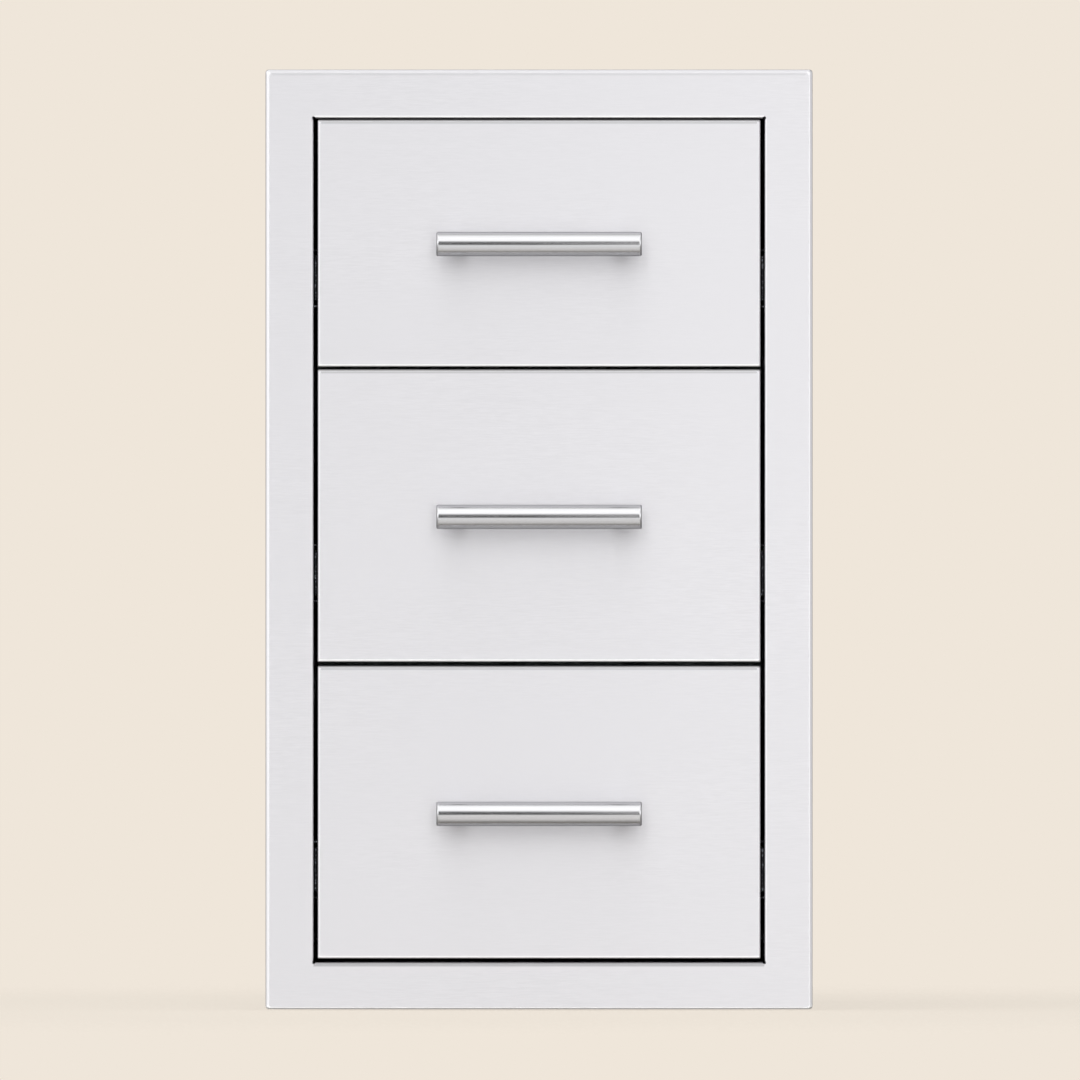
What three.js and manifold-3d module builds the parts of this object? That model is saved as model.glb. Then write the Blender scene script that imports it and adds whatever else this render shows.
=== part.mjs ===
// Outdoor kitchen drawer unit: three stainless drawers on ball bearing slides, in a folded sheet cabinet
// that slides into a cut-out and hangs there by the flange of its face frame.
// Lengths are in millimetres. X runs to the right as one faces the unit, Y into the wall and Z up.
// The origin is on the sill of the cut-out: at the middle of the unit's width, at the wall's face, under
// the cabinet floor.

import * as THREE from "three";
import { mergeVertices } from "three/addons/utils/BufferGeometryUtils.js";
import Module from "manifold-3d";

const wasm = await Module();
wasm.setup();

// Clearances
const seatGap = 0.3; // between two pieces that are fixed together
const runningGap = 0.4; // between the webs of sliding pieces
const ballClearance = 0.2; // between a ball and each of its races
const overrun = 5; // how far a cutting shape runs past what it cuts

// Face frame, cut and folded from one sheet
const frameWidth = 432;
const frameHeight = 742;
const frameSideBorder = 37.5;
const frameTopBorder = 37.5;
const frameBottomBorder = 37;
const frameProud = 13; // from the wall's face to the frame's face
const frameSheet = 1.2;
const frameFold = 0.8; // inside radius of its folds
const frameTip = 1; // corner radius on the flat of the face
const frameReturn = 20; // depth of the fold into the opening
const frameLip = 10; // width of the hem that seats on the wall
const reliefRadius = 1.7; // relief holes at the corners of the opening

// Cabinet panels
const cabinetDepth = 530; // from the wall's face to the rear flanges
const panelSheet = 1;
const panelFold = 1;
const panelTip = 0.5;
const panelFlange = 14;
const wallHoleRadius = 2.5; // holes for the screws into the wall's framing
const wallHoleSetback = 30; // from the wall's face
const wallHoleShares = [0.25, 0.625]; // of the cabinet's height

// Drawer fronts: the reveals are the dark gaps round each front
const sideReveal = 3.6;
const topReveal = 2.1;
const upperReveal = 2.1;
const lowerReveal = 3.2;
const bottomReveal = 3.1;
const topFrontHeight = 195; // the two fronts below it share the rest of the opening
const frontDepth = 18;
const frontSheet = 1.2;
const frontFold = 0.8;
const frontTip = 0.6;
const linerSheet = 1;
const linerFold = 0.8;
const linerFlange = 12;
const linerRecess = 1; // inside the rim of the front

// Drawer trays
const traySheet = 1;
const trayFold = 1.5;
const trayTip = 0.5;
const trayRise = 14; // from the front's lower edge to the tray's floor
const trayDrop = 35; // from the front's upper edge to the tray's rim
const trayRim = 5; // width of the rim that turns outwards
const trayRimDrop = 5; // depth of its downturned edge

// Ball bearing slides, seen end on
const railThickness = 12.7;
const railHeight = 45.5;
const railSheet = 1.2;
const railFold = 0.4;
const cabinetRailWidth = 9.7;
const cabinetRailLip = 2.4;
const linkRailWidth = 6.7;
const cageSheet = 0.5;
const cageFold = 0.3;
const cageBeyondBall = 0.6;
const outerRace = 4; // between the flanges of the cabinet rail and the link rail
const innerRace = 3.4; // between the flanges of the link rail and the drawer rail

// Ball bearing slides, along their length
const railClearance = 3; // behind the face frame's return
const rearClearance = 19; // between the rails and the rear panel's flanges
const railShortfall = 10; // by which the moving rails and the tray stop short of the cabinet rail
const railRise = 70; // from the front's lower edge to the rail's middle
const drawerTravel = 480;
const cageMargin = 10; // left between a cage and the end of its races at full travel
const ballsInRow = 3;
const railHoleRadius = 2.2;
const accessHoleRadius = 4.5;
const railHoleShares = [0.07, 0.45, 0.93]; // along the rail, from its front end
const accessHoleShares = [0.2, 0.7];

// Bar handles
const barDiameter = 19;
const barLength = 160;
const barEdge = 2.2; // rounding of its ends
const barReach = 45; // from the front's face to the far side of the bar
const handleDrop = 1; // below the middle of the front
const postSpacing = 128;
const postDiameter = 12;
const postChamfer = 0.8;
const screwDiameter = 4;
const screwClearance = 0.3; // round the shank
const screwBite = 6.5; // into the bar
const screwHeadDiameter = 8;
const screwHeadHeight = 2.8;

// How finely round shapes are cut
const cornerSteps = 2;
const foldSteps = 3;
const barSides = 24;
const postSides = 16;
const screwSides = 12;
const holeSides = 8;

// Places that follow from the sizes above
const openingWidth = frameWidth - 2 * frameSideBorder;
const openingHeight = frameHeight - frameTopBorder - frameBottomBorder;
const openingBottom = panelSheet + seatGap + frameSheet;
const openingTop = openingBottom + openingHeight;
const frameBottom = openingBottom - frameBottomBorder;
const wallInside = openingWidth / 2 + frameSheet + seatGap;
const wallOutside = wallInside + panelSheet;
const cabinetHeight = openingTop + frameSheet + seatGap + panelSheet;
const panelFront = frameSheet + seatGap - frameProud;
const returnRear = frameReturn - frameProud;
const frontWidth = openingWidth - 2 * sideReveal;
const revealTotal = topReveal + upperReveal + lowerReveal + bottomReveal;
const lowFrontHeight = (openingHeight - revealTotal - topFrontHeight) / 2;
const railFront = returnRear + railClearance;
const railLength = cabinetDepth - panelSheet - rearClearance - railFront;
const movingRailLength = railLength - railShortfall;
const trayHalfWidth = wallInside - railThickness - 2 * seatGap;
const trayFront = frontDepth + seatGap; // behind the front's face
const trayLength = railFront + movingRailLength + frameProud - trayFront;
const barRadius = barDiameter / 2;
const barAxis = barReach - barRadius; // in front of the front's face
const screwHoleRadius = screwDiameter / 2 + screwClearance;

// The three drawers, by the lower edge of their fronts
const drawers = [
  {
    name: "top_drawer",
    bottom: openingTop - topReveal - topFrontHeight,
    height: topFrontHeight,
  },
  {
    name: "centre_drawer",
    bottom: openingBottom + bottomReveal + lowFrontHeight + lowerReveal,
    height: lowFrontHeight,
  },
  {
    name: "bottom_drawer",
    bottom: openingBottom + bottomReveal,
    height: lowFrontHeight,
  },
];
const sides = [
  { name: "left", sign: -1 },
  { name: "right", sign: 1 },
];

// Materials
const brushedSteel = new THREE.MeshStandardMaterial({ color: 0xdcdbde, roughness: 0.34, metalness: 1 });
const sheetSteel = new THREE.MeshStandardMaterial({ color: 0xc6c8ca, roughness: 0.42, metalness: 1 });
const barSteel = new THREE.MeshStandardMaterial({ color: 0xd2d3d5, roughness: 0.24, metalness: 1 });
const zincSteel = new THREE.MeshStandardMaterial({ color: 0xb4b8bc, roughness: 0.38, metalness: 1 });
const cageSteel = new THREE.MeshStandardMaterial({ color: 0xa9a595, roughness: 0.45, metalness: 1 });

// From a three.js geometry to a solid that can be joined and cut
function solid(geometry) {
  const bare = geometry.clone();
  bare.deleteAttribute("normal");
  bare.deleteAttribute("uv");
  const merged = mergeVertices(bare);
  return new wasm.Manifold(
    new wasm.Mesh({
      numProp: 3,
      vertProperties: merged.attributes.position.array,
      triVerts: new Uint32Array(merged.index.array),
    }),
  );
}

// From a solid to a named mesh
function piece(name, shape, material) {
  const { numProp, vertProperties, triVerts } = shape.getMesh();
  const geometry = new THREE.BufferGeometry();
  geometry.setAttribute("position", new THREE.BufferAttribute(vertProperties, numProp));
  geometry.setIndex(new THREE.BufferAttribute(triVerts, 1));
  const flat = geometry.toNonIndexed();
  flat.computeVertexNormals();
  const mesh = new THREE.Mesh(flat, material);
  mesh.name = name;
  return mesh;
}

// A box between two corners
function block(low, high) {
  const size = high.map((value, i) => value - low[i]);
  const middle = high.map((value, i) => (value + low[i]) / 2);
  return solid(new THREE.BoxGeometry(...size).translate(...middle));
}

// A round bar between two places on a line along Y
function rodAlongY(radius, x, z, from, to, count) {
  const geometry = new THREE.CylinderGeometry(radius, radius, to - from, count);
  return solid(geometry.translate(x, (from + to) / 2, z));
}

// A round bar along X, used for holes in the side walls and rails
function rodAlongX(radius, y, z, from, to, count) {
  const geometry = new THREE.CylinderGeometry(radius, radius, to - from, count);
  return solid(geometry.rotateZ(Math.PI / 2).translate((from + to) / 2, y, z));
}

// The corners of a rectangle with rounded corners, counted round it from its lower right
function roundedOutline({ width, height, corner, level }) {
  const points = [];
  const centres = [
    [1, -1],
    [1, 1],
    [-1, 1],
    [-1, -1],
  ];
  centres.forEach(([right, up], quarter) => {
    for (let step = 0; step <= cornerSteps; step += 1) {
      const angle = (quarter - 1 + step / cornerSteps) * (Math.PI / 2);
      points.push([
        right * (width / 2 - corner) + corner * Math.cos(angle),
        up * (height / 2 - corner) + corner * Math.sin(angle),
        level,
      ]);
    }
  });
  return points;
}

// A closed solid through rounded rectangles, from the lowest level to the highest
function loft(rings) {
  const loops = rings.map(roundedOutline);
  const count = loops[0].length;
  const corners = [];
  for (let ring = 1; ring < loops.length; ring += 1) {
    const [below, above] = [loops[ring - 1], loops[ring]];
    for (let i = 0; i < count; i += 1) {
      const next = (i + 1) % count;
      corners.push(below[i], below[next], above[next]);
      corners.push(below[i], above[next], above[i]);
    }
  }
  const [bottom, top] = [loops[0], loops[loops.length - 1]];
  for (let i = 1; i < count - 1; i += 1) {
    corners.push(bottom[0], bottom[i + 1], bottom[i]);
    corners.push(top[0], top[i], top[i + 1]);
  }
  const geometry = new THREE.BufferGeometry();
  geometry.setAttribute("position", new THREE.Float32BufferAttribute(corners.flat(), 3));
  return solid(geometry);
}

// The rings of a slab whose upper edges are rounded off by a quarter circle
function bentRings({ width, height, top, bottom, bend, tip }) {
  const rings = [{ level: bottom, width, height, corner: bend + tip }];
  for (let step = 0; step <= foldSteps; step += 1) {
    const angle = (step / foldSteps) * (Math.PI / 2);
    const inset = bend * (1 - Math.cos(angle));
    rings.push({
      level: top - bend * (1 - Math.sin(angle)),
      width: width - 2 * inset,
      height: height - 2 * inset,
      corner: bend + tip - inset,
    });
  }
  return rings;
}

// A folded pan: its face lies on the plane z = 0 and looks up, and its rim hangs down by its depth
function pan({ width, height, depth, sheet, fold, tip }) {
  const outer = loft(bentRings({ width, height, top: 0, bottom: -depth, bend: fold + sheet, tip }));
  const inner = loft(
    bentRings({
      width: width - 2 * sheet,
      height: height - 2 * sheet,
      top: -sheet,
      bottom: -depth - overrun,
      bend: fold,
      tip,
    }),
  );
  return outer.subtract(inner);
}

// A flat plate with rounded corners between two levels
function plate({ width, height, corner, top, bottom }) {
  return loft([
    { level: bottom, width, height, corner },
    { level: top, width, height, corner },
  ]);
}

// A folded sheet seen end on. The path follows one face of the sheet, and its thickness lies to the left.
function foldedShape(path, sheet, fold) {
  const near = [];
  const far = [];
  const corners = path.map(([x, y]) => new THREE.Vector2(x, y));
  const heading = (i) => corners[i + 1].clone().sub(corners[i]).normalize();
  const leftOf = (v) => new THREE.Vector2(-v.y, v.x);
  corners.forEach((corner, i) => {
    const last = corners.length - 1;
    if (i === 0 || i === last) {
      const across = leftOf(heading(i === 0 ? 0 : last - 1)).multiplyScalar(sheet);
      near.push(corner.clone());
      far.push(corner.clone().add(across));
      return;
    }
    const [before, after] = [heading(i - 1), heading(i)];
    const turn = Math.atan2(before.cross(after), before.dot(after));
    const side = Math.sign(turn);
    const nearRadius = side > 0 ? fold + sheet : fold;
    const farRadius = side > 0 ? fold : fold + sheet;
    const run = nearRadius * Math.tan(Math.abs(turn) / 2);
    const outward = leftOf(before).multiplyScalar(-side);
    const centre = corner.clone().addScaledVector(before, -run).addScaledVector(outward, -nearRadius);
    for (let step = 0; step <= foldSteps; step += 1) {
      const spoke = outward.clone().rotateAround(new THREE.Vector2(), (turn * step) / foldSteps);
      near.push(centre.clone().addScaledVector(spoke, nearRadius));
      far.push(centre.clone().addScaledVector(spoke, farRadius));
    }
  });
  return new THREE.Shape([...near, ...far.reverse()]);
}

// A folded sheet that runs along Y, from one place to a place further back, with its shape in X and Z
function foldedAlongY(path, sheet, fold, from, to) {
  const options = { depth: to - from, steps: 1, bevelEnabled: false };
  const geometry = new THREE.ExtrudeGeometry(foldedShape(path, sheet, fold), options);
  return solid(geometry.rotateX(Math.PI / 2).translate(0, to, 0));
}

// The face frame: a shallow pan with a hem behind it, and an opening whose edges fold back
function faceFrame() {
  const bend = frameFold + frameSheet;
  const face = pan({
    width: frameWidth,
    height: frameHeight,
    depth: frameProud,
    sheet: frameSheet,
    fold: frameFold,
    tip: frameTip,
  });
  const hem = plate({
    width: frameWidth,
    height: frameHeight,
    corner: bend + frameTip,
    top: frameSheet - frameProud,
    bottom: -frameProud,
  }).subtract(
    plate({
      width: frameWidth - 2 * frameLip,
      height: frameHeight - 2 * frameLip,
      corner: frameTip,
      top: frameSheet - frameProud + overrun,
      bottom: -frameProud - overrun,
    }),
  );
  const openingRise = openingBottom + openingHeight / 2 - (frameBottom + frameHeight / 2);
  const returns = plate({
    width: openingWidth + 2 * frameSheet,
    height: openingHeight + 2 * frameSheet,
    corner: frameTip + frameSheet,
    top: -frameSheet / 2,
    bottom: -frameReturn,
  });
  const clear = { width: openingWidth, height: openingHeight, corner: frameTip };
  const flare = [{ level: -frameReturn - overrun, ...clear }];
  for (let step = foldSteps; step >= 0; step -= 1) {
    const angle = (step / foldSteps) * (Math.PI / 2);
    const growth = bend * (1 - Math.sin(angle));
    flare.push({
      level: -bend * (1 - Math.cos(angle)),
      width: openingWidth + 2 * growth,
      height: openingHeight + 2 * growth,
      corner: frameTip + growth,
    });
  }
  flare.push({ ...flare[flare.length - 1], level: overrun });
  let frame = face.add(hem).add(returns.translate([0, openingRise, 0]));
  frame = frame.subtract(loft(flare).translate([0, openingRise, 0]));
  for (const right of [-1, 1]) {
    for (const up of [-1, 1]) {
      const relief = new THREE.CylinderGeometry(
        reliefRadius,
        reliefRadius,
        2 * (frameReturn + overrun),
        holeSides,
      ).rotateX(Math.PI / 2);
      const place = [(right * openingWidth) / 2, openingRise + (up * openingHeight) / 2, 0];
      frame = frame.subtract(solid(relief.translate(...place)));
    }
  }
  const mesh = piece("face_frame", frame, brushedSteel);
  mesh.rotation.x = Math.PI / 2;
  mesh.position.set(0, -frameProud, frameBottom + frameHeight / 2);
  return mesh;
}

// A cabinet side: one sheet with a flange folded in at its rear, notched clear of the top and the floor.
// It is drawn for the right and mirrored for the left.
function sidePanel(name) {
  const path = [
    [wallOutside, panelFront],
    [wallOutside, cabinetDepth],
    [wallOutside - panelFlange, cabinetDepth],
  ];
  const options = { depth: cabinetHeight, steps: 1, bevelEnabled: false };
  let panel = solid(new THREE.ExtrudeGeometry(foldedShape(path, panelSheet, panelFold), options));
  const notchHeight = panelFlange + seatGap;
  const notchFront = cabinetDepth - panelFold - panelSheet - seatGap;
  for (const low of [-overrun, cabinetHeight - notchHeight]) {
    const from = [wallInside - panelFlange, notchFront, low];
    const to = [wallInside, cabinetDepth + overrun, low + notchHeight + overrun];
    panel = panel.subtract(block(from, to));
  }
  for (const share of wallHoleShares) {
    const ends = [wallInside - overrun, wallOutside + overrun];
    const height = share * cabinetHeight;
    panel = panel.subtract(rodAlongX(wallHoleRadius, wallHoleSetback, height, ...ends, holeSides));
  }
  return piece(name, panel, sheetSteel);
}

// The cabinet's top or floor: a shallow pan between the sides, cut back behind the face frame's return
function levelPanel(name) {
  const depth = cabinetDepth - panelFront;
  const sheet = pan({
    width: 2 * (wallInside - seatGap),
    height: depth,
    depth: panelFlange,
    sheet: panelSheet,
    fold: panelFold,
    tip: panelTip,
  });
  const cutBack = block(
    [-wallOutside, -depth / 2 - overrun, -panelFlange - overrun],
    [wallOutside, returnRear + seatGap - panelFront - depth / 2, -panelSheet],
  );
  const squared = block(
    [-wallOutside, -depth / 2 - overrun, -panelSheet - overrun],
    [wallOutside, panelFold + panelSheet - depth / 2, overrun],
  );
  const mesh = piece(name, sheet.subtract(cutBack).subtract(squared), sheetSteel);
  mesh.position.y = panelFront + depth / 2;
  return mesh;
}

// The rear panel: a flat sheet over the rear flanges
function rearPanel() {
  const shape = block(
    [-wallOutside, cabinetDepth + seatGap, 0],
    [wallOutside, cabinetDepth + seatGap + panelSheet, cabinetHeight],
  );
  return piece("rear_panel", shape, sheetSteel);
}

// The path round the outside of a channel that opens from its web towards its mouth
function channelPath(web, mouth, half, lip) {
  const side = Math.sign(web - mouth);
  const path = [
    [mouth, -half],
    [web, -half],
    [web, half],
    [mouth, half],
  ];
  if (lip > 0) {
    path.unshift([mouth, lip - half]);
    path.push([mouth, half - lip]);
  }
  return path.map(([x, z]) => [x, side * z]);
}

// Places across a right hand slide, counted from the cabinet wall: towards the drawer is negative
const cabinetWeb = -seatGap;
const outerCageWeb = cabinetWeb - railSheet - runningGap;
const linkWeb = outerCageWeb - cageSheet - runningGap;
const linkMouth = linkWeb - linkRailWidth;
const innerCageWeb = linkWeb - railSheet - runningGap;
const drawerMouth = innerCageWeb - cageSheet - runningGap;
const drawerWeb = -seatGap - railThickness;
const linkHalf = railHeight / 2 - railSheet - outerRace;
const drawerHalf = linkHalf - railSheet - innerRace;

// A rail of a slide, with a row of holes through its web
function rail(path, web, from, length, holeRadius, holeShares) {
  let shape = foldedAlongY(path, railSheet, railFold, from, from + length);
  const ends = [web - 2 * railSheet, web + 2 * railSheet];
  for (const share of holeShares) {
    shape = shape.subtract(rodAlongX(holeRadius, from + share * length, 0, ...ends, holeSides));
  }
  return shape;
}

// A ball cage: a thin channel whose flanges carry a row of balls each, joined to it as one piece
function ballCage(web, raceHeight, race, ballPlace) {
  const ballRadius = race / 2 - ballClearance;
  const from = railFront + drawerTravel / 4 + cageMargin;
  const length = movingRailLength - drawerTravel / 2 - 2 * cageMargin;
  const path = channelPath(web, ballPlace - ballRadius - cageBeyondBall, raceHeight + cageSheet / 2, 0);
  let cage = foldedAlongY(path, cageSheet, cageFold, from, from + length);
  for (const up of [-1, 1]) {
    for (let i = 0; i < ballsInRow; i += 1) {
      const along = from + ((i + 0.5) * length) / ballsInRow;
      const ball = new THREE.IcosahedronGeometry(ballRadius);
      cage = cage.add(solid(ball.translate(ballPlace, along, up * raceHeight)));
    }
  }
  return cage;
}

// One slide: three rails that run in each other on two cages of balls
function slide(drawer, side) {
  const group = new THREE.Group();
  group.scale.x = side.sign;
  const prefix = `${drawer.name}_${side.name}`;
  const cabinetPath = channelPath(cabinetWeb, cabinetWeb - cabinetRailWidth, railHeight / 2, cabinetRailLip);
  const linkPath = channelPath(linkWeb, linkMouth, linkHalf, 0);
  const drawerPath = channelPath(drawerWeb, drawerMouth, drawerHalf, 0);
  const outerRaceHeight = linkHalf + outerRace / 2;
  const innerRaceHeight = drawerHalf + innerRace / 2;
  group.add(
    piece(
      `${prefix}_cabinet_rail`,
      rail(cabinetPath, cabinetWeb, railFront, railLength, railHoleRadius, railHoleShares),
      zincSteel,
    ),
    piece(
      `${prefix}_outer_ball_cage`,
      ballCage(outerCageWeb, outerRaceHeight, outerRace, (linkWeb + linkMouth) / 2),
      cageSteel,
    ),
    piece(
      `${prefix}_link_rail`,
      rail(linkPath, linkWeb, railFront, movingRailLength, accessHoleRadius, accessHoleShares),
      zincSteel,
    ),
    piece(
      `${prefix}_inner_ball_cage`,
      ballCage(innerCageWeb, innerRaceHeight, innerRace, (drawerMouth + linkMouth) / 2),
      cageSteel,
    ),
    piece(
      `${prefix}_drawer_rail`,
      rail(drawerPath, drawerWeb, railFront, movingRailLength, railHoleRadius, railHoleShares),
      zincSteel,
    ),
  );
  for (const mesh of group.children) mesh.position.set(wallInside, 0, drawer.bottom + railRise);
  return group;
}

// Cuts the two holes for a handle's screws through a shape, between two places along Y
function cutScrewHoles(shape, height, from, to) {
  return [-1, 1].reduce((cut, right) => {
    const x = (right * postSpacing) / 2;
    return cut.subtract(rodAlongY(screwHoleRadius, x, height, from, to, holeSides));
  }, shape);
}

// The outer skin of a drawer front: a folded pan whose face looks out
function frontSkin(drawer) {
  const skin = pan({
    width: frontWidth,
    height: drawer.height,
    depth: frontDepth,
    sheet: frontSheet,
    fold: frontFold,
    tip: frontTip,
  });
  const upright = skin.rotate([90, 0, 0]).translate([0, 0, drawer.height / 2]);
  const holed = cutScrewHoles(upright, handleHeight(drawer), -overrun, frontSheet + overrun);
  return piece(`${drawer.name}_front_skin`, holed, brushedSteel);
}

// The inner skin of a drawer front: a pan that plugs the back of the outer one
function frontLiner(drawer) {
  const shrink = 2 * (frontSheet + seatGap);
  const liner = pan({
    width: frontWidth - shrink,
    height: drawer.height - shrink,
    depth: linerFlange,
    sheet: linerSheet,
    fold: linerFold,
    tip: frontTip,
  });
  const rear = frontDepth - linerRecess;
  const upright = liner.rotate([-90, 0, 0]).translate([0, rear, drawer.height / 2]);
  const holed = cutScrewHoles(upright, handleHeight(drawer), rear - linerSheet - overrun, rear + overrun);
  return piece(`${drawer.name}_front_liner`, holed, sheetSteel);
}

// A drawer tray: four walls and a floor folded from one sheet, with a rim turned out at the sides and rear
function tray(drawer) {
  const height = drawer.height - trayRise - trayDrop;
  const box = pan({
    width: 2 * trayHalfWidth,
    height: trayLength,
    depth: height,
    sheet: traySheet,
    fold: trayFold,
    tip: trayTip,
  })
    .rotate([180, 0, 0])
    .translate([0, trayFront + trayLength / 2, trayRise]);
  const rimTop = trayRise + height;
  const rimHalf = trayHalfWidth + trayRim;
  const rimPath = [
    [trayHalfWidth - traySheet, rimTop],
    [rimHalf, rimTop],
    [rimHalf, rimTop - trayRimDrop],
  ];
  const rear = trayFront + trayLength;
  const sideRim = foldedAlongY(rimPath.reverse(), traySheet, panelFold, trayFront, rear + trayRim);
  const rearPath = [
    [rear + trayRim, rimTop - trayRimDrop],
    [rear + trayRim, rimTop],
    [rear - traySheet, rimTop],
  ];
  const options = { depth: 2 * rimHalf, steps: 1, bevelEnabled: false };
  const rearShape = foldedShape(rearPath, traySheet, panelFold);
  const rearRim = solid(
    new THREE.ExtrudeGeometry(rearShape, options)
      .rotateX(Math.PI / 2)
      .rotateZ(Math.PI / 2)
      .translate(-rimHalf, 0, 0),
  );
  const joined = box.add(sideRim).add(sideRim.mirror([1, 0, 0])).add(rearRim);
  const holed = cutScrewHoles(joined, handleHeight(drawer), trayFront - overrun, trayFront + overrun);
  return piece(`${drawer.name}_tray`, holed, sheetSteel);
}

// The height of a handle above the lower edge of its front
function handleHeight(drawer) {
  return drawer.height / 2 - handleDrop;
}

// A bar handle on two posts, each held by a long screw from inside the tray
function handle(drawer) {
  const group = new THREE.Group();
  const profile = [new THREE.Vector2(0, -barLength / 2)];
  for (const end of [-1, 1]) {
    for (let step = 0; step <= foldSteps; step += 1) {
      const share = end < 0 ? step / foldSteps : 1 - step / foldSteps;
      const angle = (share * Math.PI) / 2;
      profile.push(
        new THREE.Vector2(
          barRadius - barEdge * (1 - Math.sin(angle)),
          end * (barLength / 2 - barEdge * (1 - Math.cos(angle))),
        ),
      );
    }
  }
  profile.push(new THREE.Vector2(0, barLength / 2));
  const turned = new THREE.LatheGeometry(profile, barSides).rotateZ(Math.PI / 2);
  let bar = solid(turned.translate(0, -barAxis, 0));
  const saddle = rodAlongX(barRadius + seatGap, -barAxis, 0, -barLength, barLength, barSides);
  const tip = barRadius - barAxis - screwBite;
  const headSeat = trayFront + traySheet + seatGap;
  for (const side of sides) {
    const x = (side.sign * postSpacing) / 2;
    bar = bar.subtract(rodAlongY(screwHoleRadius, x, 0, tip - seatGap, 0, holeSides));
    const postProfile = [
      [0, -barAxis],
      [postDiameter / 2, -barAxis],
      [postDiameter / 2, -seatGap - postChamfer],
      [postDiameter / 2 - postChamfer, -seatGap],
      [0, -seatGap],
    ].map(([radius, y]) => new THREE.Vector2(radius, y));
    const post = solid(new THREE.LatheGeometry(postProfile, postSides).translate(x, 0, 0))
      .subtract(saddle)
      .subtract(rodAlongY(screwHoleRadius, x, 0, -barAxis - overrun, overrun, holeSides));
    const screwProfile = [
      [0, tip],
      [screwDiameter / 2, tip],
      [screwDiameter / 2, headSeat],
      [screwHeadDiameter / 2, headSeat],
      [screwHeadDiameter / 2, headSeat + screwHeadHeight / 2],
      [screwHeadDiameter / 4, headSeat + screwHeadHeight],
      [0, headSeat + screwHeadHeight],
    ].map(([radius, y]) => new THREE.Vector2(radius, y));
    const screw = solid(new THREE.LatheGeometry(screwProfile, screwSides).translate(x, 0, 0));
    group.add(
      piece(`${drawer.name}_${side.name}_handle_post`, post, barSteel),
      piece(`${drawer.name}_${side.name}_handle_screw`, screw, zincSteel),
    );
  }
  group.add(piece(`${drawer.name}_handle_bar`, bar, barSteel));
  group.position.z = handleHeight(drawer);
  return group;
}

// The cabinet with its face frame
const unit = new THREE.Group();
unit.add(faceFrame());
for (const side of sides) {
  const group = new THREE.Group();
  group.scale.x = side.sign;
  group.add(sidePanel(`${side.name}_side_panel`));
  unit.add(group);
}
const topPanel = levelPanel("top_panel");
topPanel.position.z = cabinetHeight;
const bottomPanel = levelPanel("bottom_panel");
bottomPanel.scale.z = -1;
unit.add(topPanel, bottomPanel, rearPanel());

// The drawers with their slides
for (const drawer of drawers) {
  for (const side of sides) unit.add(slide(drawer, side));
  const group = new THREE.Group();
  group.position.set(0, -frameProud, drawer.bottom);
  group.add(frontSkin(drawer), frontLiner(drawer), tray(drawer), handle(drawer));
  unit.add(group);
}

export default unit;
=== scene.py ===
"""The looks of an outdoor kitchen drawer unit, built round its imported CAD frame.

The file is laid out as an add-on and run as a script. Each operator makes one piece or one group of
like pieces, in metres and in the frame of the CAD, so that a piece goes where its node is.
"""

import math

import bpy
import numpy as np
from bpy.props import FloatProperty, FloatVectorProperty, IntProperty, PointerProperty
from bpy.types import Operator, Panel, PropertyGroup
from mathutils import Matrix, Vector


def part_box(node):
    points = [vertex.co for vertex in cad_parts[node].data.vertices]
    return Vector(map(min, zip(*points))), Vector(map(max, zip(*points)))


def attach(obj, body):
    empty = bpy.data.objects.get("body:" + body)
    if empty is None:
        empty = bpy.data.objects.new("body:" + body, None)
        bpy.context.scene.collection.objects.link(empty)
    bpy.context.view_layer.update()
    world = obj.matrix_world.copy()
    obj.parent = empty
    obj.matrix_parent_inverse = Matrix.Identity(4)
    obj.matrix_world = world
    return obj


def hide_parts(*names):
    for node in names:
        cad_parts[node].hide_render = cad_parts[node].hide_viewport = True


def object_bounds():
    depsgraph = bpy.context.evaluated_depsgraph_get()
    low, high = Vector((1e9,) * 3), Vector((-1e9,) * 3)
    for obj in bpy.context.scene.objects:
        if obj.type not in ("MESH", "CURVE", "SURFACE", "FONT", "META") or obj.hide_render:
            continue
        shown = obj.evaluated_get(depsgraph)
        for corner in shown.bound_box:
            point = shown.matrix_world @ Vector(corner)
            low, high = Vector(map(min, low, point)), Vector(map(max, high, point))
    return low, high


bl_info = {
    "name": "Outdoor kitchen drawer unit",
    "version": (1, 0, 0),
    "blender": (4, 5, 0),
    "location": "3D View > Sidebar > Drawer unit",
    "description": "Builds the sheet steel, handles, slides and stage of a built-in drawer unit",
    "category": "Add Mesh",
}

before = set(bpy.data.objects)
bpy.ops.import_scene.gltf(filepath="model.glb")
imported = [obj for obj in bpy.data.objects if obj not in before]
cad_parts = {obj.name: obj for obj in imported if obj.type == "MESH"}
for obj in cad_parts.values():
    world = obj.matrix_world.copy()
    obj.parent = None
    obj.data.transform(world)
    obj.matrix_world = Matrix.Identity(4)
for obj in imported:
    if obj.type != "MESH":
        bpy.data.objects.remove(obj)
CAD_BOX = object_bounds()

MM = 0.001
DRAWERS = ("top_drawer", "centre_drawer", "bottom_drawer")
SIDES = (("left", -1), ("right", 1))
DRAWER_SIDES = [(drawer, side, sign) for drawer in DRAWERS for side, sign in SIDES]
PANELS = ("left_side_panel", "right_side_panel", "top_panel", "bottom_panel", "rear_panel")

# Rings this far from a fold keep its shading off the flats beside it.
SUPPORT = 0.3 * MM
# How far a cutter reaches past the sheet that it cuts.
CLEARANCE = 5 * MM
# Steel reflects less at 70 to 85 degrees from square than a perfect metal does, which darkens the
# rims of bars and folds. Polished bar shows it more than brushed sheet.
GRAZING = (0.45, 0.45, 0.46)
GRAZING_BAR = (0.20, 0.20, 0.21)


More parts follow.
